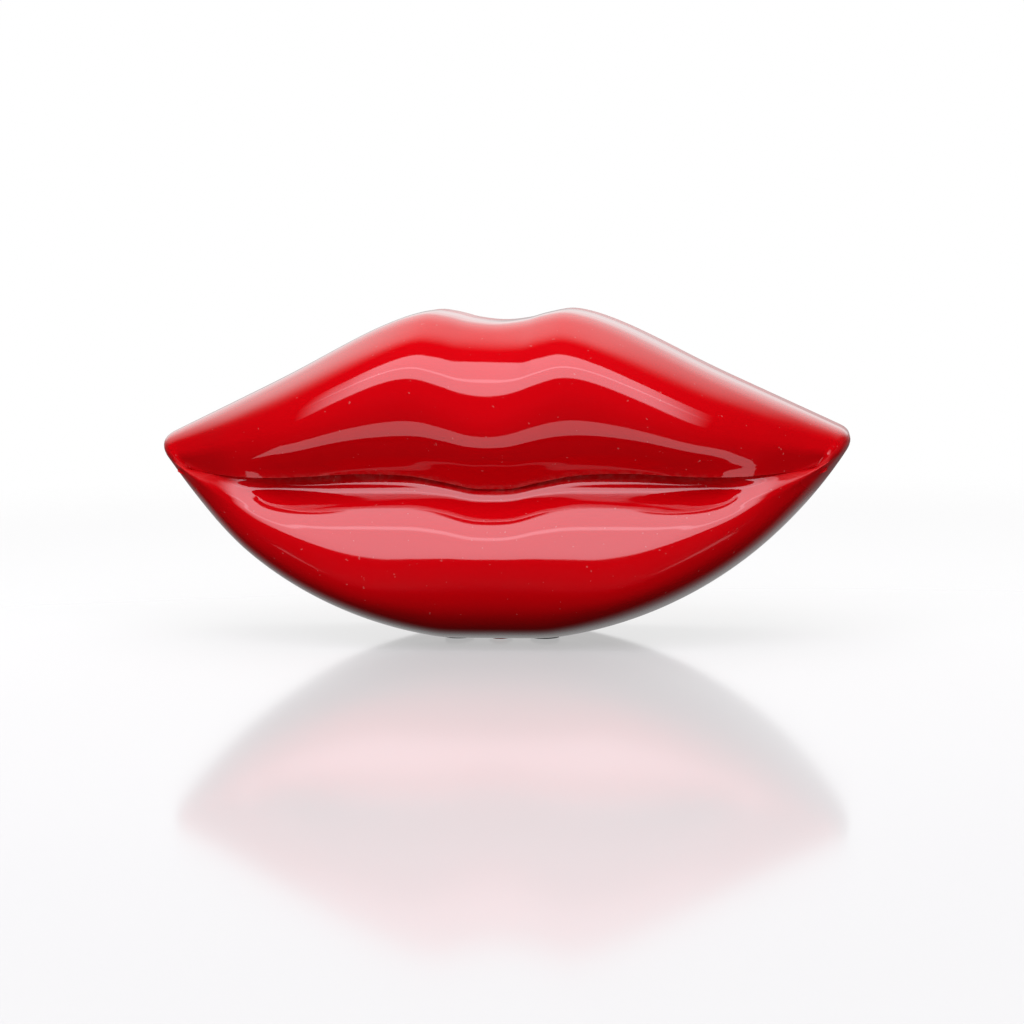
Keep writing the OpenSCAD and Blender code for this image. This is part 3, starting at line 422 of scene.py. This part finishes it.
# the lips
lips = {
    "depth": shellHigh[1] - shellLow[1],
    "partY": shellHigh[1],
    "rows": 88,
    "wall": 0.0022,
    "crestRow": 0.46,
    "plungerHole": 0.0038,
    # how soon the centre's profile turns into the corner's: upper power, more for the lower, last stretch
    "cornerPower": (2.2, 1.3),
    "cornerStretch": (0.66, 0.36),
    "upperCrest": [[0, 0.965], [0.2, 1], [0.42, 0.985], [0.62, 0.90], [0.8, 0.71], [0.92, 0.52], [1, 0.40]],
    "lowerCrest": [[0, 1], [0.3, 0.985], [0.55, 0.9], [0.75, 0.74], [0.9, 0.54], [1, 0.40]],
    "upperFade": [[0, 1], [0.45, 0.93], [0.65, 0.70], [0.8, 0.32], [0.92, 0.07], [1, 0.0]],
    "lowerFade": [[0, 1], [0.5, 1.0], [0.68, 0.92], [0.8, 0.5], [0.92, 0.10], [1, 0.0]],
    "upperSag": [[0, 0.040], [0.13, 0.0], [0.26, -0.045], [0.45, -0.025], [0.65, 0.0], [1, 0.0]],
    "lowerSag": [[0, 0.0], [0.10, -0.015], [0.2, -0.065], [0.31, -0.12], [0.42, -0.115], [0.62, -0.03],
                 [0.8, 0.02], [1, 0.0]],
    "mouldLine": 0.295,
    "rimSpread": [[0, 0.0], [0.15, 0.0], [0.35, 0.04], [0.6, 0.09], [0.8, 0.10], [1, 0.02]],
    # peaks at 1 when way is 5/6
    "rimPower": 5,
    "rimScale": 14.9,
    # [share of the way from the outline to the mouth line, share of the crest's height], centre then corner
    "upperCentre": [[0, 0], [0.003, 0.16], [0.008, 0.30], [0.022, 0.44], [0.070, 0.60], [0.18, 0.81],
                    [0.33, 0.945], [0.48, 0.995], [0.60, 0.995], [0.72, 0.95], [0.83, 0.865], [0.92, 0.775],
                    [0.975, 0.72], [1, 0.69]],
    "lowerCentre": [[0, 0], [0.002, 0.16], [0.008, 0.34], [0.030, 0.56], [0.10, 0.80], [0.22, 0.945], [0.38, 1.0],
                    [0.54, 0.994], [0.66, 0.945], [0.76, 0.88], [0.84, 0.80], [0.915, 0.705], [0.965, 0.675],
                    [1, 0.63]],
    "corner": [[0, 0], [0.01, 0.15], [0.03, 0.30], [0.075, 0.46], [0.15, 0.62], [0.27, 0.78], [0.40, 0.88],
               [0.53, 0.945], [0.64, 0.975], [0.74, 0.995], [0.83, 1.0], [0.90, 1.0], [0.96, 1.0], [1, 1.0]],
}


def splinePoint(points, t):
    # a smooth line through evenly spaced points
    span = t * (len(points) - 1)
    k = min(len(points) - 2, int(span))
    u = span - k
    p0 = points[max(0, k - 1)]
    p1, p2 = points[k], points[k + 1]
    p3 = points[min(len(points) - 1, k + 2)]
    return [0.5 * (2 * b + (c - a) * u + (2 * a - 5 * b + 4 * c - d) * u * u + (3 * b - a - 3 * c + d) * u ** 3)
            for a, b, c, d in zip(p0, p1, p2, p3)]


def mixedRows(first, second, share):
    return [[mixed(a, b, share) for a, b in zip(p, q)] for p, q in zip(first, second)]


def lipPoint(turn, row):
    # row runs from the outline over the crest and down into the line between the lips
    x, z, s, lower = outlinePoint(turn)
    share = abs(s)

    def either(kind):
        return mixed(smoothTable(lips["upper" + kind], share), smoothTable(lips["lower" + kind], share), lower)

    power, morePower = lips["cornerPower"]
    toCorner = mixed(share ** (power + morePower * lower), 1.0, eased(share, *lips["cornerStretch"]))
    centre = mixedRows(lips["upperCentre"], lips["lowerCentre"], lower)
    way, high = splinePoint(mixedRows(centre, lips["corner"], toCorner), row)
    high = 1 - (1 - high) * (1 - (1 - either("Fade")) * eased(row, lips["crestRow"], 0.2))
    way += either("Sag") * math.sin(math.pi * min(1.0, way)) ** 2
    rim = lips["rimScale"] * way ** lips["rimPower"] * max(0.0, 1 - way)
    way -= lower * smoothTable(lips["rimSpread"], share) * rim
    mx = s * mouthX
    mz = mouthZ(mx)
    return Vector((x + (mx - x) * way, lips["partY"] - lips["depth"] * either("Crest") * high, z + (mz - z) * way))


def lipMarks(turn, row):
    # where dust settles, where the gloss is duller and where the mould's line runs, for the finish
    s = abs(outlinePoint(turn)[2])
    onLower = 0.25 < turn < 0.75
    off = abs(row - lips["mouldLine"]) * lips["rows"]
    return {
        "crease": max(0.0, 1 - (1 - row) / 0.10) * smoothTable(lips["upperFade"], s),
        "rim": max(0.0, 1 - row / 0.05),
        "under": 1 - portion(row, 0.48, 0.12) if onLower else 0.0,
        "line": max(0.0, 1 - off) if 0.27 < turn < 0.73 else 0.0,
        "haze": eased(s, 0.80, 0.16) if 0.245 < turn < 0.755 else 0.0,
    }


def makeLips():
    bm = bmesh.new()
    bmesh.ops.create_grid(bm, x_segments=outline["columns"], y_segments=lips["rows"], size=0.5)
    for name in ("crease", "rim", "under", "line", "haze"):
        bm.verts.layers.float.new(name)
    layers = bm.verts.layers.float
    for vert in bm.verts:
        turn, row = vert.co.x + 0.5, vert.co.y + 0.5
        for name, value in lipMarks(turn, row).items():
            vert[layers[name]] = value
        vert.co = lipPoint(turn, row)
    solid = hollow(bm, lips["wall"])
    low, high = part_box("hook_plunger")
    knife = bmesh.new()
    addPin(knife, (low[0] + high[0]) / 2, (low[1] + high[1]) / 2, 0.002, 0.012, lips["plungerHole"], 64)
    footCutters(knife, front=True)
    return cutWith(solid, knife, "lipsSkin")


# the rear cover
cover = {
    "partY": coverLow[1] + 0.0020,
    "backY": bezelHigh[1] - 0.0006,
    "round": 0.006,
    "lip": 0.0005,
    "lipInset": 0.00012,
    "seam": 0.00005,
    "wall": 0.0025,
    "rows": 22,
}
# openings in the back; depths are measured from backY
openings = {
    "deep": 0.005,
    "proud": 0.001,
    "bezelGap": 0.0003,
    "bezelSeat": 0.0012,
    "bezelCorner": 0.004,
    "bezelLedge": 0.006,
    "slotLength": 0.011,
    "slotHeight": 0.0016,
    "slotPitch": 0.004,
    "slotCorner": 0.00079,
    "knobTravel": 0.004,
    "knobGap": 0.0003,
    "jackWidth": 0.0143,
    "jackHeight": 0.0133,
}
sound = {
    "reach": 0.004,
    "earHoles": 6,
    "earPitch": 0.006,
    "earHole": 0.0012,
    "micHoles": 5,
    "micPitch": 0.003,
    "micHole": 0.0007,
}
feet = {
    "radius": 0.0045,
    "hole": 0.00455,
    "depth": 0.006,
}
middle = outline["height"] / 2


def middleOf(node):
    low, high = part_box(node)
    return (low[0] + high[0]) / 2, (low[2] + high[2]) / 2


def inset(x, z, depth):
    # a point of the outline drawn in towards the middle
    return x * (1 - depth / outline["halfWidth"]), middle + (z - middle) * (1 - depth / middle)


def coverPoint(turn, row):
    x, z, _, _ = outlinePoint(turn)
    start, bend = cover["partY"] + cover["seam"], cover["backY"] - cover["round"]
    if row < 0.1:
        u = row / 0.1
        x, z = inset(x, z, cover["lipInset"] * (1 - u) ** 2)
        return Vector((x, start + cover["lip"] * u, z))
    if row < 0.4:
        u = (row - 0.1) / 0.3
        return Vector((x, start + cover["lip"] + (bend - start - cover["lip"]) * u, z))
    angle = math.pi / 2 * (row - 0.4) / 0.6
    x, z = inset(x, z, cover["round"] * (1 - math.cos(angle)))
    return Vector((x, bend + cover["round"] * math.sin(angle), z))


def turned(bm, x, z, profile, steps=72):
    # a profile of (radius, y) turned about a line along y
    made = [bm.verts.new((x + r, y, z)) for r, y in profile]
    lines = [bm.edges.new((a, b)) for a, b in zip(made, made[1:])]
    bmesh.ops.spin(bm, geom=made + lines, angle=2 * math.pi, steps=steps, axis=(0, 1, 0), cent=(x, 0, z))
    bmesh.ops.remove_doubles(bm, verts=bm.verts, dist=0.000005)


def holeCutters(bm):
    low, high = cover["backY"] - sound["reach"], cover["backY"] + sound["reach"]
    earX, earZ = middleOf("receiver_capsule")
    micX, micZ = middleOf("mic_boot")
    addBar(bm, earX, earZ, low, high, sound["earHole"], 24)
    for x, z, count, pitch, radius, segments in (
            (earX, earZ, sound["earHoles"], sound["earPitch"], sound["earHole"], 24),
            (micX, micZ, sound["micHoles"], sound["micPitch"], sound["micHole"], 16)):
        for k in range(count):
            angle = 2 * math.pi / count * k
            addBar(bm, x + pitch * math.cos(angle), z + pitch * math.sin(angle), low, high, radius, segments)


def wellPlaces():
    for sx, sz in wells["places"]:
        for side in (-1, 1):
            yield side * sx * outline["halfWidth"], sz * outline["height"]


def coverCutters():
    bm = bmesh.new()
    back = cover["backY"]
    deep, proud = back - openings["deep"], back + openings["proud"]
    for x, z in wellPlaces():
        addBar(bm, x, z, deep, proud, wells["radius"])
    x, z = middleOf("keypad_bezel")
    gap, ledge, seat = openings["bezelGap"], openings["bezelLedge"], openings["bezelSeat"]
    w, h = bezelHigh[0] - bezelLow[0] + gap, bezelHigh[2] - bezelLow[2] + gap
    addBlock(bm, x, z, w, h, back - seat, proud, openings["bezelCorner"], 10)
    addBlock(bm, x, z, w - ledge, h - ledge, deep, back - seat / 2, openings["bezelCorner"] / 2)
    x, z = middleOf("ringer_housing")
    for k in (-1, 0, 1):
        addBlock(bm, x, z + openings["slotPitch"] * k, openings["slotLength"], openings["slotHeight"], deep, proud,
                 openings["slotCorner"])
    gap, travel = openings["knobGap"], openings["knobTravel"]
    for name in ("tone_switch_knob", "ringer_switch_knob"):
        low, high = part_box(name)
        addBlock(bm, (low[0] + high[0] + travel) / 2, (low[2] + high[2]) / 2, high[0] - low[0] + travel + 2 * gap,
                 high[2] - low[2] + 2 * gap, deep, proud, gap, 2)
    x, z = middleOf("line_jack")
    addBlock(bm, x, z, openings["jackWidth"], openings["jackHeight"], deep - 0.001, proud, 0.0004, 2)
    holeCutters(bm)
    return bm


def footCutters(bm, front):
    low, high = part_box("rubber_feet")
    r = feet["radius"]
    y = low[1] + r if front else high[1] - r
    for x in (low[0] + r, high[0] - r):
        addPin(bm, x, y, high[2] - feet["depth"] / 2, feet["depth"], feet["hole"], 48)


def makeCover():
    bm = bmesh.new()
    bmesh.ops.create_grid(bm, x_segments=outline["columns"], y_segments=cover["rows"], size=0.5)
    edge = []
    for vert in bm.verts:
        turn, row = vert.co.x + 0.5, vert.co.y + 0.5
        if row > 0.9999 and turn < 0.9999:
            edge.append((turn, vert))
        vert.co = coverPoint(turn, row)
    bm.faces.new([vert for _, vert in sorted(edge, key=lambda item: item[0])])
    solid = hollow(bm, cover["wall"])
    knife = coverCutters()
    footCutters(knife, front=False)
    return cutWith(solid, knife, "coverSkin")


def roundEdge(profile, r, top, soft, steps, step):
    for k in range(steps):
        angle = step * k
        profile.append((r - soft + soft * math.cos(angle), top - soft + soft * math.sin(angle)))


cup = {
    "radius": 0.021,
    "rise": 0.003,
    "sunk": 0.0024,
    "edge": 0.001,
    "border": 0.002,
    "dish": 0.0022,
}


def makeCup():
    bm = bmesh.new()
    x, z = middleOf("receiver_capsule")
    back, r, top = cover["backY"], cup["radius"], cover["backY"] + cup["rise"]
    inner = r - cup["border"]
    profile = [(0, back - cup["sunk"]), (r, back - cup["sunk"]), (r + 0.0004, back + 0.0003), (r, back + 0.0012)]
    roundEdge(profile, r, top, cup["edge"], 7, math.pi / 6)
    for k in range(14):
        u = 1 - k / 13
        profile.append((inner * u, top - cup["dish"] * (1 - u * u)))
    turned(bm, x, z, profile)
    knife = bmesh.new()
    holeCutters(knife)
    return cutWith(bmToMesh(bm, "earCup"), knife, "earCup")


pad = {
    "radius": 0.010,
    "rise": 0.001,
    "sunk": 0.0024,
    "edge": 0.0007,
}


def makePad():
    bm = bmesh.new()
    x, z = middleOf("mic_boot")
    back, r, top = cover["backY"], pad["radius"], cover["backY"] + pad["rise"]
    profile = [(0, back - pad["sunk"]), (r, back - pad["sunk"]), (r + 0.0003, back + 0.0002)]
    roundEdge(profile, r, top, pad["edge"], 6, math.pi / 10)
    profile += [(r * 0.6, top - 0.0002), (0, top - 0.0003)]
    turned(bm, x, z, profile)
    knife = bmesh.new()
    holeCutters(knife)
    return cutWith(bmToMesh(bm, "micPad"), knife, "micPad")


wells = {
    # shares of the half width and of the height
    "places": [(0.352, 0.79), (0.8, 0.56), (0.32, 0.13)],
    "radius": 0.0033,
    "bore": 0.0017,
    "wall": 0.0011,
    "mouth": 0.0012,
    "seatY": 0.015,
    "floor": 0.0025,
}


def makeWells():
    bm = bmesh.new()
    r, outer, mouth = wells["radius"], wells["radius"] + wells["wall"], cover["backY"] - wells["mouth"]
    seat, low = wells["seatY"], wells["seatY"] - wells["floor"]
    profile = [(r, mouth), (r, seat), (wells["bore"], seat), (wells["bore"], low), (outer, low), (outer, mouth),
               (r, mouth)]
    for x, z in wellPlaces():
        turned(bm, x, z, profile, 40)
    return bmToMesh(bm, "screwWells")


def smoothByAngle(mesh, degrees=32):
    bm = bmesh.new()
    bm.from_mesh(mesh)
    limit = math.radians(degrees)
    for edge in bm.edges:
        edge.smooth = not (edge.is_manifold and edge.calc_face_angle(0.0) > limit)
    bm.to_mesh(mesh)
    bm.free()
    return mesh


finishObject("lipsSkin", smoothByAngle(makeLips(), 50), "lips_gloss_red", "telephone", replaces=["front_shell"])
print("lips made")
finishObject("coverSkin", smoothByAngle(makeCover()), "cover_gloss_red", "telephone", replaces=["rear_cover"])
finishObject("earCup", smoothByAngle(makeCup()), "cover_gloss_red", "telephone")
finishObject("micPad", smoothByAngle(makePad()), "cover_gloss_red", "telephone")
finishObject("screwWells", smoothByAngle(makeWells()), "cover_gloss_red", "telephone")
print("rear cover made")


# keys and their legends
keys = {
    "corner": 0.0015,
    "edge": 0.0006,
    "flange": 0.0009,
    "flangeHeight": 0.0013,
    "dishInset": 0.0016,
    "dish": 0.00028,
    "legendSize": 0.0052,
    "wordSize": 0.0023,
    "starDrop": 0.0010,
    "print": 0.00004,
    "names": {"key_1": "1", "key_2": "2", "key_3": "3", "key_4": "4", "key_5": "5", "key_6": "6", "key_7": "7",
              "key_8": "8", "key_9": "9", "key_star": "*", "key_0": "0", "key_hash": "#", "key_redial": "REDIAL",
              "key_mute": "MUTE", "key_flash": "FLASH"},
}


def makeKey(name):
    # a cap with rounded corners, a soft top edge and a shallow dish, over its hidden flange
    low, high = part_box(name)
    x, z = middleOf(name)
    w, h = high[0] - low[0] - 2 * keys["flange"], high[2] - low[2] - 2 * keys["flange"]
    rim, top, edge = low[1] + keys["flangeHeight"], high[1], keys["edge"]
    rings = [(0.0, rim - 0.0002), (0.0, top - edge)]
    for k in range(1, 6):
        angle = math.pi / 2 * k / 5
        rings.append((edge * (1 - math.cos(angle)), top - edge + edge * math.sin(angle)))
    for k in range(1, 8):
        u = k / 7
        rings.append((edge + keys["dishInset"] * u, top - keys["dish"] * u * u * (3 - 2 * u)))
    bm = bmesh.new()
    addRings(bm, x, z, w, h, keys["corner"], rings)
    addBlock(bm, x, z, high[0] - low[0], high[2] - low[2], low[1], rim, keys["corner"], 3)
    return bmToMesh(bm, name + "Cap")


def printed(words, x, y, z, size, name):
    curve = bpy.data.curves.new(name, "FONT")
    curve.body = words
    curve.size = size
    curve.extrude = keys["print"]
    curve.align_x = "CENTER"
    curve.align_y = "CENTER"
    made = addObject(name, curve)
    mesh = baked(made)
    bpy.data.objects.remove(made)
    mesh.transform(Matrix(((-1, 0, 0, x), (0, 0, 1, y), (0, 1, 0, z), (0, 0, 0, 1))))
    mesh.name = name
    return mesh


for name, words in keys["names"].items():
    body = name + "_body"
    finishObject(name + "Cap", smoothByAngle(makeKey(name), 40), "key_plastic", body, replaces=[name])
    size = keys["legendSize"] if len(words) == 1 else keys["wordSize"]
    x, z = middleOf(name)
    drop = keys["starDrop"] if words == "*" else 0.0
    legend = printed(words, x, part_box(name)[1][1] - keys["dish"], z - drop, size, name + "Legend")
    finishObject(name + "Legend", legend, "black_plastic", body, smooth=False)
print("keys made")

switches = {
    "words": {"ringer_switch_body": ("HI", "LO"), "tone_switch_body": ("PULSE", "TONE")},
    "aside": 0.0088,
    "size": 0.0021,
}
for name, pair in switches["words"].items():
    x, z = middleOf(name)
    for words, side in zip(pair, (1, -1)):
        label = printed(words, x + side * switches["aside"], cover["backY"], z, switches["size"], name + words)
        finishObject(name + words, label, "key_plastic", "telephone", smooth=False)
print("switch words made")

# the rest of the frame keeps its solids, softened at the edges
softening = {
    "width": 0.0002,
    "segments": 2,
    "angle": 40,
    "leftOut": ("receiver_leads", "mic_leads", "ringer_leads", "jack_leads", "hook_spring", "key_membrane"),
}
for name, node in nodes.items():
    node.data.materials.clear()
    node.data.materials.append(finishes[slotOf[name]])
    if name in ("front_shell", "rear_cover") or name in keys["names"] or name in softening["leftOut"]:
        continue
    soft = node.modifiers.new("soft", "BEVEL")
    soft.width = softening["width"]
    soft.segments = softening["segments"]
    soft.limit_method = "ANGLE"
    soft.angle_limit = math.radians(softening["angle"])
    soft.harden_normals = True
print("other pieces softened")


# camera, floor and light
studio = {
    "target": (0.0036, 0.0, 0.0392),
    "azimuth": 7.0,
    "elevation": 6.0,
    "roll": 0.7,
    "distance": 0.753,
    "lens": 85.0,
}


def placeCamera():
    az, el = math.radians(studio["azimuth"]), math.radians(studio["elevation"])
    away = Vector((math.sin(az) * math.cos(el), -math.cos(az) * math.cos(el), math.sin(el)))
    data = bpy.data.cameras.new("camera")
    data.lens = studio["lens"]
    data.clip_start = 0.01
    camera = addObject("camera", data)
    side = Vector((0, 0, 1)).cross(away).normalized()
    up = away.cross(side)
    turn = Matrix((side, up, away)).transposed() @ Matrix.Rotation(-math.radians(studio["roll"]), 3, "Z")
    target = Vector(studio["target"])
    camera.matrix_world = Matrix.Translation(target + away * studio["distance"]) @ turn.to_4x4()
    bpy.context.scene.camera = camera


def areaLight(name, place, aim, width, height, power, colour=(1, 1, 1)):
    data = bpy.data.lights.new(name, "AREA")
    data.shape = "RECTANGLE"
    data.size = width
    data.size_y = height
    data.energy = power
    data.color = colour
    light = addObject(name, data)
    way = (Vector(aim) - Vector(place)).normalized()
    light.matrix_world = Matrix.Translation(place) @ way.to_track_quat("-Z", "Y").to_matrix().to_4x4()
    # the cards further down are what gloss sees in their place
    light.visible_glossy = False
    return light


placeCamera()
softbox = areaLight("softbox", (-0.02, -0.455, 0.57), (0, 0, 0.05), 1.30, 0.60, 6.6, (1.0, 0.95, 1.05))
areaLight("floorLight", (0.0, 0.1, 0.9), (0, 0.1, 0), 1.0, 1.0, 6.5)
areaLight("fill", (0.05, -1.30, 0.10), (0, 0, 0.05), 1.6, 0.6, 5.6)
areaLight("bounce", (0, -0.16, 0.001), (0, -0.16, 1), 0.50, 0.14, 0.30)


def makeWorld():
    # plain white to the camera; what lights the scene is a soft wall behind and a dimmer ground
    sky = SkyGraph("studio")
    side, back, up = (sky.node("ShaderNodeSeparateXYZ", {}, k, {0: sky.place}) for k in range(3))
    wide = (side + 0.12).math("ABSOLUTE")
    wall = back.ramp(0.05, 0.5) * up.ramp(-0.05, 0.15) * wide.ramp(0.35, 0.72, 1.15, 0.05)
    ground = back.ramp(0.4, 0.9) * up.ramp(-0.05, 0.1, 0.5, 0.0)
    lighting = sky.node("ShaderNodeBackground", {}, 0, {1: wall + ground + 0.015})
    shown = sky.node("ShaderNodeBackground", {}, 0, {0: (1, 1, 1, 1), 1: 1.0})
    cameraRay = sky.node("ShaderNodeLightPath", {}, 0, {})
    both = sky.node("ShaderNodeMixShader", {}, 0, {0: cameraRay, 1: lighting, 2: shown})
    sky.feed(sky.tree.nodes.new("ShaderNodeOutputWorld").inputs[0], both)
    bpy.context.scene.world = sky.world


def sheet(name, place, graph):
    # a flat card of the studio, placed by a matrix from a unit square
    bm = bmesh.new()
    bmesh.ops.create_grid(bm, x_segments=1, y_segments=1, size=0.5, matrix=place)
    mesh = bmToMesh(bm, name)
    mesh.materials.append(graph.material)
    thing = addObject(name, mesh)
    return thing


def makeFloor():
    graph = Graph("floorFinish", Roughness=0.10, IOR=1.35, Emission_Color=(1, 1, 1, 1), Emission_Strength=0.42)
    tone = graph.noise(3.0, 3.0).blend((0.26, 0.26, 0.26, 1), (0.24, 0.24, 0.24, 1))
    far = graph.node("ShaderNodeVectorMath", {"operation": "LENGTH"}, 1, {0: graph.place})
    graph.drive(Base_Color=tone, Alpha=far.ramp(0.28, 0.6, 1.0, 0.0))
    floor = sheet("floor", Matrix.Diagonal((1.8, 1.8, 1, 1)), graph)
    floor.visible_glossy = floor.visible_diffuse = False


def makeCards():
    # the softbox as the gloss sees it: bright in the middle, a brighter tube across it, fading to its ends
    box = Graph("softboxFinish", Base_Color=(0, 0, 0, 1), Emission_Strength=4.6)
    along, across = (box.node("ShaderNodeSeparateXYZ", {}, k, {0: box.place}) for k in (0, 1))
    ends = along.math("ABSOLUTE").ramp(0.34, 0.80, 1.0, 0.0)
    edges = across.math("ABSOLUTE").ramp(0.27, 0.30, 1.0, 0.0)
    tube = (across + 0.005).math("ABSOLUTE").ramp(0.012, 0.032, 1.0, 0.0)
    level = ends * edges * (tube * 0.36 + 0.64)
    box.drive(Emission_Color=level.blend((0, 0, 0, 1), (1.0, 0.95, 1.05, 1)))
    front = sheet("softboxFront", Matrix.Diagonal((1.64, 0.62, 1, 1)), box)
    front.matrix_world = softbox.matrix_world.copy()
    # a dim card in front of the lips that only their gloss sees, flagged off from the lower lip
    glow = Graph("cardFinish", Base_Color=(0, 0, 0, 1), Emission_Strength=1.1)
    glow.drive(Emission_Color=glow.noise(4.0, 2.0).blend((1.0, 0.94, 1.0, 1), (0.8, 0.76, 0.8, 1)))
    card = sheet("card", Matrix.Translation((0, -0.100, -0.002)) @ Matrix.Diagonal((0.34, 0.06, 1, 1)), glow)
    # the flag is dark on one side only, so the floor still mirrors what is behind it
    dark = Graph("flagFinish", Base_Color=(0.002, 0.002, 0.002, 1), Roughness=1.0)
    dark.drive(Alpha=dark.node("ShaderNodeNewGeometry", {}, 6, {}))
    flag = sheet("flag", Matrix.Translation((0, -0.060, 0.007)) @ Matrix.Rotation(math.pi / 2, 4, "X")
                 @ Matrix.Diagonal((0.50, 0.018, 1, 1)), dark)
    for thing in (front, card, flag):
        thing.visible_camera = thing.visible_diffuse = thing.visible_shadow = False


makeWorld()
makeFloor()
makeCards()
bpy.context.scene.view_settings.view_transform = "Standard"
print("studio made")
